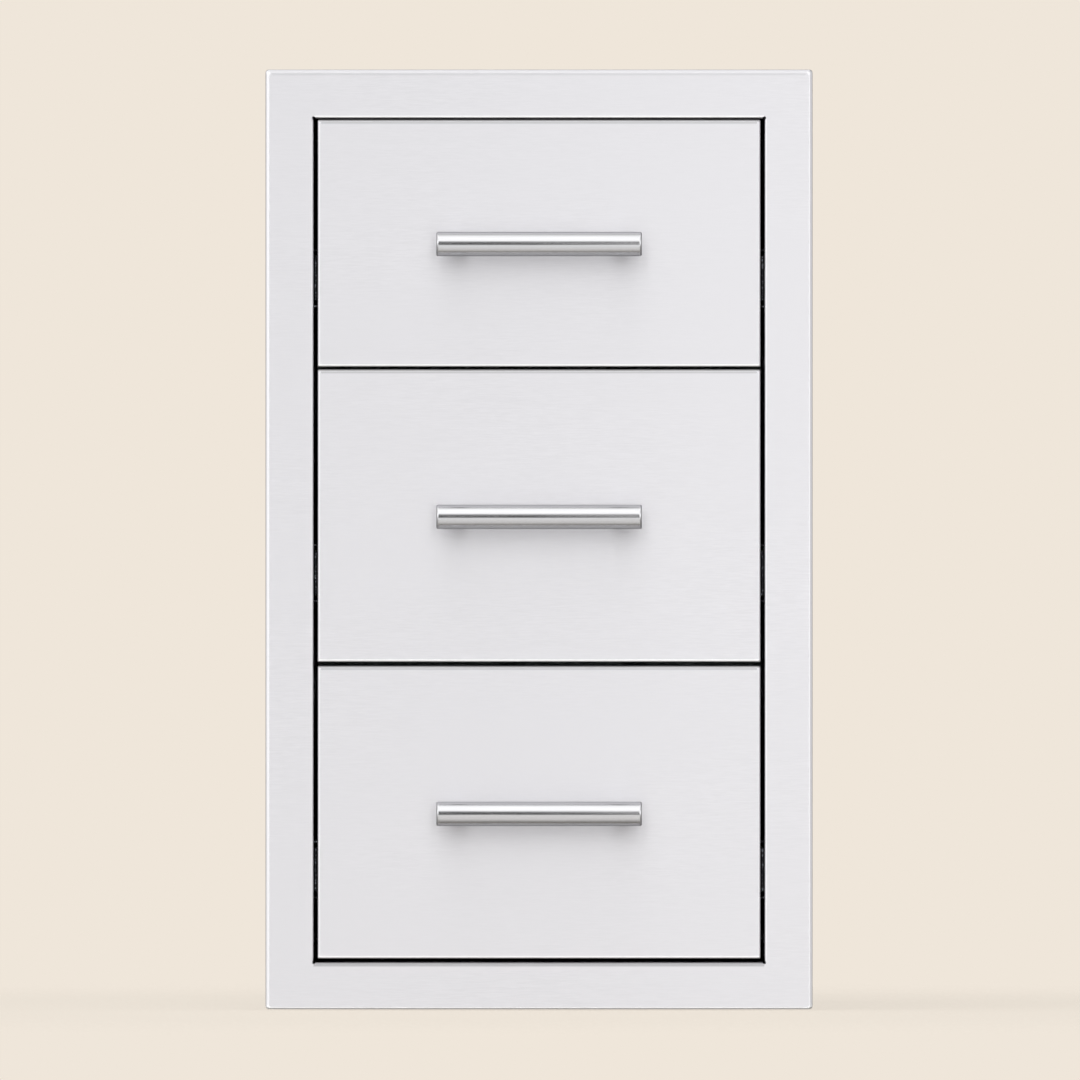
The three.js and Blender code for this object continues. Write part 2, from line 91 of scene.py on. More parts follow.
def linear(text):
    """An sRGB hex colour as linear red, green and blue: c / 12.92 up to 0.04045, and ((c + 0.055) /
    1.055) ** 2.4 above."""
    srgb = np.array([int(text[i : i + 2], 16) for i in (1, 3, 5)]) / 255
    low, high = srgb / 12.92, ((srgb + 0.055) / 1.055) ** 2.4
    return tuple(float(c) for c in np.where(srgb <= 0.04045, low, high))


def length(name, millimetres, description):
    """A size that the sidebar shows in the scene's length unit."""
    shown = {"min": 0.0, "precision": 5, "subtype": "DISTANCE", "unit": "LENGTH"}
    return FloatProperty(name=name, description=description, default=millimetres * MM, **shown)


def colour(name, text, description):
    """A colour that the sidebar shows as a swatch."""
    shown = {"min": 0.0, "max": 1.0, "size": 3, "subtype": "COLOR"}
    return FloatVectorProperty(name=name, description=description, default=linear(text), **shown)


class FrameSizes(PropertyGroup):
    """Sizes of the face frame"""

    side_border: length("Side border", 38, "Width of the frame beside the opening")
    top_border: length("Top border", 38.3, "Height of the frame above the opening")
    bottom_border: length("Bottom border", 37, "Height of the frame below the opening")
    sheet: length("Sheet", 1.2, "Thickness of the frame's sheet")
    outer_side: length("Outer side fold", 2.9, "Reach of the outer side folds into the face")
    outer_bottom: length("Outer bottom fold", 1.6, "Reach of the outer bottom fold")
    outer_top: length("Outer top fold", 3.2, "Reach of the outer top fold")
    inner_side: length("Inner side fold", 1.8, "Reach of the opening's side folds")
    inner_bottom: length("Inner bottom fold", 1.7, "Reach of the opening's bottom fold")
    inner_top: length("Inner top fold", 1.2, "Reach of the opening's top fold")
    depth: length("Fold depth", 2, "Depth over which a fold turns from the face to the rim")
    tip: length("Corner", 2.6, "Radius of the frame's corners, seen from the front")
    inner_tip: length("Inner corner", 0.9, "Radius of the opening's corners")
    wall_face: length("Wall face", 0, "Where the hem's back lies, behind the wall's face")
    hem: length("Hem", 10, "Width of the hem that seats on the wall")
    relief: length("Relief hole", 1.4, "Radius of the relief cut at the corners of the opening")


class FrontSizes(PropertyGroup):
    """Sizes of the drawer fronts"""

    sheet: length("Sheet", 1.2, "Thickness of the outer skin")
    side: length("Side fold", 1.8, "Reach of the side folds into the face")
    bottom: length("Bottom fold", 1.2, "Reach of the bottom fold")
    top: length("Top fold", 1.6, "Reach of the top fold")
    depth: length("Fold depth", 1.9, "Depth over which a fold turns from the face to the rim")
    tip: length("Corner", 1, "Radius of the front's corners, seen from the front")
    edge: length("Cut edge", 0.15, "Rounding of the cut edges of the sheet")
    hole: length("Screw hole", 2.3, "Radius of the holes for the handle's screws")


class HandleSizes(PropertyGroup):
    """Sizes of the bar handles"""

    rounding: length("End rounding", 1.4, "Rounding of the bar's ends")
    overhang: length("Overhang", 1.1, "How far each end of the bar reaches past its solid")
    post_radius: length("Post radius", 6, "Radius of the posts behind the bar")
    post_chamfer: length("Post chamfer", 0.8, "Chamfer of the post where it meets the front")
    post_flare: length("Post flare", 0.7, "Width of the weld bead round the post at the bar")
    sides: IntProperty(name="Sides", description="Faces round the bar", default=96, min=24)


class SlideSizes(PropertyGroup):
    """Sizes of the ball bearing slides"""

    outer_ball: length("Outer ball", 1.8, "Radius of the balls round the link rail")
    inner_ball: length("Inner ball", 1.5, "Radius of the balls round the drawer rail")
    cage_sheet: length("Cage sheet", 0.5, "Thickness of the ball cages")
    cage_lip: length("Cage lip", 0.6, "How far a cage reaches past its balls")
    balls: IntProperty(name="Balls", description="Balls in each row", default=16, min=3)
    rail: length("Rail", 500, "Length of a rail that the three places below are measured on")
    first_hole: length("First hole", 35, "From the front of a rail to its first fixing")
    second_hole: length("Second hole", 225, "From the front of a rail to its second fixing")
    third_hole: length("Third hole", 465, "From the front of a rail to its third fixing")


class FastenerSizes(PropertyGroup):
    """Sizes of rivets, screws and spot welds"""

    rivet_head: length("Rivet head", 3.2, "Radius of a rivet's domed head")
    rivet_rise: length("Rivet height", 0.9, "Height of a rivet's head")
    rivet_shank: length("Rivet shank", 2.1, "Radius of a rivet's shank")
    weld: length("Spot weld", 2.4, "Radius of the mark of a spot weld")
    socket: length("Hex socket", 2.5, "Width across the flats of a screw's hexagon socket")
    shank: length("Screw shank", 2, "Radius of a screw's shank")
    head: length("Screw head", 2.8, "Height of a screw's button head")
    socket_depth: length("Socket depth", 1.6, "Depth of a screw's hexagon socket")


class Finishes(PropertyGroup):
    """Colours of the metals and the rubber"""

    brushed: colour("Brushed steel", "#E4E3E6", "Stainless steel brushed with a grit belt")
    mill: colour("Mill finish", "#C9CBCD", "Stainless steel as it leaves the rolling mill")
    bar: colour("Bar steel", "#E4E4E6", "Stainless bar, ground and satin polished")
    zinc: colour("Zinc plate", "#B7BCC2", "Bright zinc on the rails")
    cage: colour("Cage steel", "#A9A595", "Cold rolled strip with a thin film of oil")
    ball: colour("Ball steel", "#D9DADC", "Hardened and lapped chrome steel")
    weld: colour("Weld mark", "#C9CBCD", "Stainless steel under a weld's heat tint")
    rubber: colour("Rubber", "#1B1C1D", "Moulded black rubber")


class StageSettings(PropertyGroup):
    """Camera, background, floor and light"""

    background: colour("Background", "#EFE6DA", "Plain backdrop")
    paint: colour("Floor paint", "#ECE4D8", "Paint of the floor")
    view_width: length("View width", 852.8, "Width of the picture at the front's face")
    distance: length("Camera distance", 24000, "From the camera to the front's face")
    floor_drop: length("Floor gap", 1, "Height of the frame above the floor")
    floor_radius: length("Floor radius", 1500, "Where the floor has faded out")
    floor_centre: length("Floor centre", 150, "How far behind the origin the floor's centre lies")
    shade: FloatProperty(
        name="Shade", description="Share of the floor that takes shadow",
        default=0.22, min=0.0, max=1.0, subtype="FACTOR",
    )


GROUPS = {
    "unit_frame": FrameSizes,
    "unit_fronts": FrontSizes,
    "unit_handles": HandleSizes,
    "unit_slides": SlideSizes,
    "unit_fasteners": FastenerSizes,
    "unit_finishes": Finishes,
    "unit_stage": StageSettings,
}


def extent(node):
    """The lowest and highest corners of a CAD node at rest, and its centre."""
    low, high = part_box(node)
    return low, high, (low + high) / 2


# Surfaces


def quads(rows, columns, closed=False):
    """Faces between rings of points: point j of ring i joins point j + 1 of the same ring and both
    of them on ring i + 1. A ring's last point joins its first. Closed, the last ring joins the
    first."""
    i = np.arange(rows if closed else rows - 1)[:, None]
    j = np.arange(columns)[None]
    here, there, j_next = i * columns, (i + 1) % rows * columns, (j + 1) % columns
    return np.stack([here + j, here + j_next, there + j_next, there + j], -1).reshape(-1, 4)


def volume(points, triangles):
    """Six times the volume under triangles: the sum of a . (b x c) over their corners."""
    a, b, c = (points[triangles[:, k]] for k in range(3))
    return np.einsum("ij,ij->", a, np.cross(b, c))


def shell(rings, closed=False):
    """A surface through rings of points, an array of rings x points x 3. Closed, the last ring
    joins the first. Open, fans from the means of the first and the last ring close it. Its faces
    are turned out, so that the volume under them is positive."""
    rows, columns = rings.shape[:2]
    points = rings.reshape(-1, 3)
    sides, fans = quads(rows, columns, closed), np.zeros((0, 3), int)
    if not closed:
        points = np.concatenate([points, [rings[0].mean(0), rings[-1].mean(0)]])
        j = np.arange(columns)
        j_next, pole, last = (j + 1) % columns, 0 * j + rows * columns, (rows - 1) * columns
        fans = np.stack([[pole, j_next, j], [pole + 1, last + j, last + j_next]])
        fans = fans.transpose(0, 2, 1).reshape(-1, 3)
    under = sum(volume(points, some) for some in (sides[:, :3], sides[:, [0, 2, 3]], fans))
    turn = 1 if under > 0 else -1
    return points, sides[:, ::turn].tolist() + fans[:, ::turn].tolist()


def together(shells):
    """Several shells as one: each shell's faces count on from the points before it."""
    points, faces, start = [], [], 0
    for some_points, some_faces in shells:
        points.append(some_points)
        faces += [[start + k for k in face] for face in some_faces]
        start += len(some_points)
    return np.concatenate(points), faces


def copies(shape, places):
    """One shell at each of many places: point p of copy k is p + place k."""
    points, faces = shape
    return together([(points + np.asarray(place, float), faces) for place in places])


def rim(box, insets, corner, y, steps=8):
    """A ring of points at depth y: the rectangle (left, right, bottom, top), drawn in by one inset
    or by three (sides, bottom, top), with round corners. A point is its corner's centre plus the
    radius times (cos a, sin a), with a turning through a quarter for each corner."""
    left, right, bottom, top = box
    side, below, above = insets + np.zeros(3)
    turn = np.linspace(0, math.pi / 2, steps + 1)
    angle = (np.arange(4)[:, None] * math.pi / 2 + turn[None]).ravel()
    across, up = (np.repeat(signs, steps + 1) for signs in ((1, -1, -1, 1), (1, 1, -1, -1)))
    x = across * ((right - left - 2 * side) / 2 - corner) + corner * np.cos(angle)
    z = up * ((top - bottom - below - above) / 2 - corner) + corner * np.sin(angle)
    x, z = x + (left + right) / 2, z + (bottom + top + below - above) / 2
    return np.stack([x, np.full(len(x), y), z], -1)


def arc(steps, start=0.0):
    """Cosines and sines of equal turns from start to a quarter."""
    angle = np.linspace(start, math.pi / 2, steps + 1)
    return list(zip(np.cos(angle).tolist(), np.sin(angle).tolist(), strict=True))


def circle(sides):
    """The angles of points round a ring."""
    return np.linspace(0, 2 * math.pi, sides, endpoint=False)


def turned(profile, sides, axis, centre=(0, 0, 0)):
    """A profile of (radius, place along the axis) turned round an axis: a point is centre + place *
    axis + radius * (cos a * first + sin a * second), first and second being square to the axis."""
    radius, along = np.array(profile, float).T[:, :, None, None]
    axis = np.asarray(axis, float)
    first = np.roll(axis, 1)
    angle = circle(sides)[:, None]
    spokes = np.cos(angle) * first + np.sin(angle) * np.cross(axis, first)
    return shell(np.asarray(centre, float) + along * axis + radius * spokes)


def round_y(centre, profile, angle):
    """A profile of (radius, y) carried round a line along Y: a point is centre x + radius * cos a,
    y and centre z + radius * sin a. A radius or a y may change with the angle a."""
    radius, y = (np.array([row[k] + 0 * angle for row in profile]) for k in (0, 1))
    x, z = centre.x + radius * np.cos(angle), centre.z + radius * np.sin(angle)
    return shell(np.stack([x, y, z], -1))


def folded(ring, fold, face, depth, sheet):
    """The rings over a fold, from the face to the rim, and those under it, from the rim back. With
    c and s the cosine and sine of equal turns, they lie fold * (1 - s) in and depth * (1 - c) deep,
    and then sheet + (fold - sheet) * (1 - c) in and sheet + (depth - sheet) * (1 - s) deep. With a
    depth and a sheet below 0, the fold goes towards -Y."""
    thick, bend = abs(sheet), depth - sheet
    over = [ring(fold * (1 - s), face + depth * (1 - c)) for c, s in arc(7)]
    bare = np.maximum(fold - thick, 0)
    under = [ring(thick + bare * (1 - c), face + sheet + bend * (1 - s)) for c, s in arc(3)]
    return over, under


def folded_section(corners, sheet, bend, steps=4):
    """The outline of a folded strip seen end on. Its middle line runs through the corners, with an
    arc at each: the arc's centre less its radius times the line's normal, turned from one heading
    to the next. The outline is that line moved by half a sheet to either side."""
    corners = np.asarray(corners, float)
    headings = np.diff(corners, axis=0)
    headings /= np.linalg.norm(headings, axis=1)[:, None]
    left = np.stack([-headings[:, 1], headings[:, 0]], -1)
    middle, normal = [corners[:1]], [left[:1]]
    for k in range(1, len(corners) - 1):
        before, after, aside = headings[k - 1], headings[k], left[k - 1]
        turn = math.atan2(before[0] * after[1] - before[1] * after[0], before @ after)
        radius = math.copysign(bend + sheet / 2, turn)
        angle = turn * np.linspace(0, 1, steps + 1)[:, None]
        spokes = aside * np.cos(angle) + np.array([-aside[1], aside[0]]) * np.sin(angle)
        centre = corners[k] - before * abs(radius) * math.tan(abs(turn) / 2) + aside * radius
        middle.append(centre - spokes * radius)
        normal.append(spokes)
    middle = np.concatenate([*middle, corners[-1:]])
    half = np.concatenate([*normal, left[-1:]]) * sheet / 2
    return np.concatenate([middle - half, (middle + half)[::-1]])


# Objects


def put(name, data):
    """A new object in the scene, of some data or of a mesh from a shell's points and faces."""
    if isinstance(data, tuple):
        points, faces = data
        data = bpy.data.meshes.new(name)
        data.from_pydata(points.tolist(), [], faces)
    thing = bpy.data.objects.new(name, data)
    bpy.context.scene.collection.objects.link(thing)
    return thing


def make(name, shape, finish, body, replaced=None, smooth_angle=40):
    """A named object at the origin, with a mesh from points and faces, on its body. Its bends shade
    smooth up to an angle. It has a finish, and stands for a CAD node where one is named."""
    piece = put(name, shape)
    mesh = piece.data
    mesh.validate()
    mesh.update()
    mesh.shade_smooth()
    mesh.set_sharp_from_angle(angle=math.radians(smooth_angle))
    maker, slot = FINISHES[finish]
    mesh.materials.append(material_of(maker, getattr(bpy.context.scene.unit_finishes, finish)))
    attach(piece, body)
    if replaced:
        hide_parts(replaced)
    return piece


def read(mesh, what="co"):
    """What a mesh knows of its points, as an array of points x 3."""
    values = np.zeros(len(mesh.vertices) * 3)
    mesh.vertices.foreach_get(what, values)
    return values.reshape(-1, 3)


def store(mesh, name, values):
    """Keeps a number for each point as an attribute that a material can read."""
    attribute = mesh.attributes.new(name, "FLOAT", "POINT")
    attribute.data.foreach_set("value", values.astype(np.float32))


def cut_away(piece, shape, smooth_angle=40):
    """Cuts a shell out of a piece with a Boolean modifier, applied, and removes the shell."""
    cutter = put("cutter", shape)
    modifier = piece.modifiers.new("cut", "BOOLEAN")
    modifier.operation, modifier.solver, modifier.object = "DIFFERENCE", "EXACT", cutter
    bpy.context.view_layer.update()
    evaluated = piece.evaluated_get(bpy.context.evaluated_depsgraph_get())
    cut = bpy.data.meshes.new_from_object(evaluated)
    if not cut.polygons:
        raise RuntimeError(f"nothing is left of {piece.name} after its holes were cut")
    piece.modifiers.clear()
    used, piece.data = (piece.data, cutter.data), cut
    cut.name = used[0].name
    cut.set_sharp_from_angle(angle=math.radians(smooth_angle))
    bpy.data.objects.remove(cutter)
    for mesh in used:
        bpy.data.meshes.remove(mesh)


def merged_copy(node, name, finish, body):
    """A copy of a CAD node whose loose triangles are joined at their shared corners, so that its
    bends shade smooth. A modifier weighs the normals by face area, so that its flats shade flat."""
    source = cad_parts[node].data
    points, same_place = read(source), 0.002 * MM
    keys = np.round(points / same_place)
    _, first, same = np.unique(keys, axis=0, return_index=True, return_inverse=True)
    corners = np.zeros(len(source.loops), int)
    source.loops.foreach_get("vertex_index", corners)
    triangles = same.reshape(-1)[corners].reshape(-1, 3)
    proper = (triangles != np.roll(triangles, 1, 1)).all(1)
    piece = make(name, (points[first], triangles[proper].tolist()), finish, body, node)
    even = piece.modifiers.new("even_normals", "WEIGHTED_NORMAL")
    even.keep_sharp, even.weight = True, 100


# Materials. Each is made by the function of its name, from the base colour that the sidebar shows.


def add(tree, kind, inputs=(), output=0, stops=(), **settings):
    """Adds a node of a kind with its settings. An input takes a value, or is linked to the output
    that it is given, and a colour ramp takes (place, colour) stops. Returns the output asked
    for."""
    node = tree.nodes.new("ShaderNode" + kind)
    for name, value in settings.items():
        setattr(node, name, value)
    for name, value in dict(inputs).items():
        socket = node.inputs[name]
        if isinstance(value, bpy.types.NodeSocket):
            tree.links.new(value, socket)
        else:
            socket.default_value = (*value, 1.0) if socket.type == "RGBA" else value
    for _ in stops[2:]:
        node.color_ramp.elements.new(0.5)
    for k, (place, value) in enumerate(stops):
        element = node.color_ramp.elements[k]
        element.position, element.color = place, (*value, 1.0)
    return node.outputs[output] if node.outputs else None


def grey(value):
    """A grey as red, green and blue."""
    return (value, value, value)


def scaled(rgb, factor):
    """A colour times a factor, kept in the range that a material takes."""
    return tuple(min(1.0, c * factor) for c in rgb)


def streaks(tree, grain, detail=4.0, rough=0.6):
    """Noise on object coordinates, with the size of one grain along X, Y and Z in millimetres."""
    scale = tuple(1 / (size * MM) for size in grain)
    place = add(tree, "TexCoord", output="Object")
    stretched = add(tree, "Mapping", {"Scale": scale, "Vector": place})
    noise = {"Vector": stretched, "Scale": 1.0, "Detail": detail, "Roughness": rough}
    return add(tree, "TexNoise", noise, "Fac")


def blended(tree, pattern, first, second, start=0.3, end=0.7, most=1.0):
    """From a first colour towards a second as a pattern runs from start to end, by a share of at
    most most. Greys do for a roughness."""
    span = {"Value": pattern, "From Min": start, "From Max": end, "To Max": most}
    share = add(tree, "MapRange", span)
    return add(tree, "Mix", {0: share, 6: first, 7: second}, 2, data_type="RGBA")


def surface(tree, tone, rough, bumps=(), values=(), grain=False):
    """The principled shader of a metal, unless its values say otherwise, with its colour, roughness
    and bumps, each a pattern and its height in millimetres, one on top of the other. Grain is
    grooves along X. The direction across them is the normal crossed with X, which leans a little,
    so that it doesn't vanish on a face that looks along X."""
    values = {"Base Color": tone, "Roughness": rough, "Metallic": 1.0, **dict(values)}
    below = {}
    for pattern, height in bumps:
        bump = {"Height": pattern, "Strength": 1.0, "Distance": height * MM, **below}
        below = {"Normal": add(tree, "Bump", bump)}
    if grain:
        ways = {0: add(tree, "NewGeometry", output="Normal"), 1: (1.0, 0.03, 0.05)}
        values["Tangent"] = add(tree, "VectorMath", ways, operation="CROSS_PRODUCT")
    shader = add(tree, "BsdfPrincipled", {**values, **below})
    add(tree, "OutputMaterial", {"Surface": shader})


def brushed_stainless_304_no_4(tree, base):
    """Stainless steel 304, drawn under a grit belt: parallel grooves along X spread highlights up
    and down and leave fine light and dark lines. The grit leaves lines about 0.1 mm apart, too fine
    for the picture, so a coarser set of 0.9 mm is drawn with them. On marked folds the colour is
    painted shade or a painted highlight."""
    coarse = streaks(tree, (11, 0.9, 0.9))
    fine = streaks(tree, (25, 0.14, 0.14), detail=2.0)
    cloud = streaks(tree, (260, 120, 120), detail=2.0, rough=0.4)
    lines = add(tree, "Mix", {0: 0.35, 2: coarse, 3: fine}, 0)
    tone = blended(tree, lines, scaled(base, 0.935), scaled(base, 1.035))
    tone = blended(tree, cloud, scaled(base, 0.985), tone, 0.35, 0.65)
    fold = add(tree, "Attribute", output="Fac", attribute_name="fold")
    # Painted shade where the fold attribute is below 0, and a painted highlight, white, where it is
    # above 0
    tone = blended(tree, fold, tone, scaled(base, 0.50), 0.0, -1.0)
    tone = blended(tree, fold, tone, grey(1.0), 0.0, 0.6)
    rough = blended(tree, lines, grey(0.35), grey(0.38))
    bumps = [(lines, 0.004), (add(tree, "MapRange", {"Value": fold}), 0.12)]
    values = {"Anisotropic": 0.8, "Specular Tint": GRAZING}
    surface(tree, tone, rough, bumps, values, grain=True)


def mill_finish_stainless_2b(tree, base):
    """Stainless steel as cold rolled, pickled and skin passed: an even, dull grey with faint roll
    lines and soft clouds."""
    lines = streaks(tree, (400, 400, 2.2), detail=3.0)
    cloud = streaks(tree, (70, 55, 55))
    speck = streaks(tree, (0.8, 0.8, 0.8), detail=2.0)
    tone = blended(tree, cloud, scaled(base, 0.975), scaled(base, 1.015))
    tone = blended(tree, lines, tone, scaled(base, 0.96), 0.35, 0.65, most=0.5)
    rough = blended(tree, cloud, grey(0.37), grey(0.4))
    surface(tree, tone, rough, [(speck, 0.003)], {"Anisotropic": 0.2}, grain=True)


def satin_ground_stainless_bar(tree, base):
    """Stainless round bar, centreless ground and then polished along its length: a soft, clear
    highlight with hair lines. Its ends were rounded on a lathe and stay duller, and their colour
    is also darkened as painted shade that keeps them from lighting up."""
    lines = streaks(tree, (45, 0.35, 0.35))
    end = add(tree, "Attribute", output="Fac", attribute_name="turned_end")
    tone = blended(tree, lines, scaled(base, 0.93), scaled(base, 1.04))
    # Painted shade: the turned ends' colour is darkened to 0.62 of the base, besides their rougher
    # finish
    tone = blended(tree, end, tone, scaled(base, 0.62), 0.0, 1.0)
    rough = blended(tree, lines, grey(0.10), grey(0.14))
    rough = blended(tree, end, rough, grey(0.42), 0.0, 1.0)
    values = {"Anisotropic": 0.6, "Specular Tint": GRAZING_BAR}
    surface(tree, tone, rough, [(lines, 0.001)], values, grain=True)


def bright_zinc_plated_steel(tree, base):
    """Low carbon steel strip, roll formed and plated with bright zinc: cool grey with a faint blue
    to straw bloom where the passivating film is thicker. Faces that look forward, the sheared
    front ends, are darkened nearly to black, with a few bright specks as painted glints."""
    bloom = streaks(tree, (10, 16, 10), detail=1.0)
    lines = streaks(tree, (0.6, 60, 0.6), detail=2.0)
    burr = streaks(tree, (2, 2, 2), detail=1.0)
    tints = [(0.3, linear("#B2BAC4")), (0.5, base), (0.7, linear("#BEBDB7"))]
    tone = add(tree, "ValToRGB", {"Fac": bloom}, stops=tints)
    tone = blended(tree, lines, tone, scaled(base, 0.85), 0.35, 0.65, most=0.4)
    # The forward-looking ends are darkened nearly to black, with painted glints as bright specks
    bare = blended(tree, burr, scaled(base, 0.06), scaled(base, 0.8), 0.56, 0.63)
    normal = add(tree, "NewGeometry", output="Normal")
    forward = add(tree, "SeparateXYZ", {"Vector": normal}, "Y")
    tone = blended(tree, forward, tone, bare, -0.85, -0.98)
    surface(tree, tone, blended(tree, bloom, grey(0.27), grey(0.33)), [(lines, 0.003)])


def oiled_cold_rolled_strip(tree, base):
    """Cold rolled strip, pressed and left bare under a film of oil: a warm, dark grey with glossy
    patches."""
    film = streaks(tree, (4, 6, 4), detail=3.0)
    tone = blended(tree, film, scaled(base, 0.8), scaled(base, 1.05))
    surface(tree, tone, blended(tree, film, grey(0.28), grey(0.48)))


def lapped_chrome_steel(tree, base):
    """Hardened chrome steel, lapped: mirror bright with a trace of grease."""
    film = streaks(tree, (2, 2, 2), detail=1.0)
    tone = blended(tree, film, scaled(base, 0.9), base, 0.35, 0.65)
    surface(tree, tone, blended(tree, film, grey(0.06), grey(0.16), 0.35, 0.65))


def spot_weld_heat_tint(tree, base):
    """The mark of a resistance spot weld on stainless sheet: a matt dimple whose heat tint runs
    from straw to blue."""
    stain = streaks(tree, (1.6, 1.6, 1.6), detail=2.0)
    tints = [(0.3, linear("#A9A6A6")), (0.5, scaled(base, 0.95)), (0.7, linear("#B3A58C"))]
    tone = add(tree, "ValToRGB", {"Fac": stain}, stops=tints)
    surface(tree, tone, blended(tree, stain, grey(0.42), grey(0.58)))


def moulded_black_rubber(tree, base):
    """Black rubber, compression moulded: matt, with the fine grain of the mould and a paler
    bloom."""
    grain = streaks(tree, (0.5, 0.5, 0.5), detail=3.0)
    bloom = streaks(tree, (9, 9, 9), detail=2.0)
    tone = blended(tree, bloom, base, linear("#2E2F31"), 0.4, 0.7)
    values = {"Metallic": 0.0, "IOR": 1.52, "Specular IOR Level": 0.35}
    surface(tree, tone, blended(tree, grain, grey(0.55), grey(0.75)), [(grain, 0.02)], values)


# What makes each finish's material, and the name of its slot in the record
FINISHES = {
    "brushed": (brushed_stainless_304_no_4, "brushed_stainless"),
    "mill": (mill_finish_stainless_2b, "plain_stainless"),
    "bar": (satin_ground_stainless_bar, "handle_stainless"),
    "zinc": (bright_zinc_plated_steel, "zinc_plated_steel"),
    "cage": (oiled_cold_rolled_strip, "cage_steel"),
    "ball": (lapped_chrome_steel, "cage_steel"),
    "weld": (spot_weld_heat_tint, "plain_stainless"),
    "rubber": (moulded_black_rubber, None),
}


def material_of(maker, base):
    """The material named as its maker, made when it is first asked for."""
    material = bpy.data.materials.get(maker.__name__)
    if material is None:
        material = bpy.data.materials.new(maker.__name__)
        material.use_nodes = True
        material.diffuse_color = (*base, 1.0)
        material.node_tree.nodes.clear()
        maker(material.node_tree, tuple(base))
    return material


# How far from a level fold its marks reach: over the whole fold, or over a narrow one
WIDE, NARROW = 3.6 * MM, 1.9 * MM


def mark_folds(piece, face, depth, edges):
    """Stores painted shade and painted highlight on some level folds as an attribute. Each edge is
    (height, reach, share on the fold, share on the flat beside it, width). A share below 0 darkens
    the metal as painted shade, and one above 0 whitens it as a painted highlight and, on a flat,
    also draws it up by up to a tenth of a millimetre. The highlight goes on folds that look down
    and the shade on those that look up: the value on a fold is share * clip(-+4 * z of the
    normal, 0, 1)."""
    (x, y, z), up = read(piece.data).T, read(piece.data, "normal")[:, 2]
    same = 0.01 * MM
    folded = (y - face > same) & (y - face < depth + 0.5 * MM)
    flat = np.abs(y - face) < same
    value = np.zeros(len(x))
    for edge, reach, on_fold, on_flat, width in edges:
        away = np.abs(z - edge)
        # Painted light: a highlight on folds that look down, shade on folds that look up
        marked = on_fold * np.clip(-4 * np.sign(on_fold) * up, 0, 1)
        value = np.where(folded & (away < WIDE), marked, value)
        value = np.where(flat & (away < width) & (np.abs(x) < reach), on_flat, value)
    store(piece.data, "fold", value)


# Operators


class UNIT_OT_face_frame(Operator):
    """Builds the face frame: a sheet with a fold round it, a hem on the wall and a return inside"""

    bl_idname = "drawer_unit.face_frame"
    bl_label = "Face frame"

    def execute(self, context):
        sizes = context.scene.unit_frame
        low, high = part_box("face_frame")
        whole = (low.x, high.x, low.z, high.z)
        left, right = low.x + sizes.side_border, high.x - sizes.side_border
        bottom, top = low.z + sizes.bottom_border, high.z - sizes.top_border
        outer = np.array([sizes.outer_side, sizes.outer_bottom, sizes.outer_top])
        inner = np.array([sizes.inner_side, sizes.inner_bottom, sizes.inner_top])
        sheet, depth, face, back = sizes.sheet, sizes.depth, low.y, sizes.wall_face

        def outside(insets, y):
            return rim(whole, insets, sizes.tip, y)

        def opening(insets, y):
            return rim((left, right, bottom, top), -insets, sizes.inner_tip + np.min(insets), y)

        hem_over, hem_under = folded(outside, depth, back, -depth, -sheet)
        outer_over, outer_under = folded(outside, outer, face, depth, sheet)
        inner_over, inner_under = folded(opening, inner, face, depth, sheet)
        rings = [outside(sizes.hem, back), outside(depth + SUPPORT, back), *hem_over]
        rings += [outside(0, (back + face) / 2), *outer_over[::-1]]
        rings += [outside(outer + k * SUPPORT, face) for k in (1, 7)]
        rings += [opening(inner + k * SUPPORT, face) for k in (7, 3, 1)]
        rings += [*inner_over, opening(0, face + depth + SUPPORT), opening(0, high.y)]
        rings += [opening(sheet, high.y), opening(sheet, face + depth + SUPPORT), *inner_under]
        rings += [*outer_under[::-1], *hem_under, outside(sizes.hem, back - sheet)]
        shape = shell(np.array(rings), closed=True)
        piece = make("face_frame_sheet", shape, "brushed", "cabinet", "face_frame")
        reach = [(sizes.relief, face - CLEARANCE), (sizes.relief, high.y + CLEARANCE)]
        corners = [(x, 0, z) for x in (left, right) for z in (bottom, top)]
        cut_away(piece, together([turned(reach, 32, (0, 1, 0), corner) for corner in corners]))
        # Painted light on the folds: shade on the opening's up-looking bottom fold and a dark band
        # on the flat below it; a highlight on its down-looking top fold and a whitened, raised
        # strip above it; a little shade on the outer top fold and the flat below it; a highlight on
        # the outer bottom fold
        edges = [
            (bottom, right, -1.0, -0.7, WIDE),
            (top, right, 1.0, 0.55, NARROW),
            (high.z, high.x, -0.2, -0.28, WIDE),
            (low.z, high.x, 1.0, 0.0, NARROW),
        ]
        mark_folds(piece, face, depth, edges)
        return {"FINISHED"}


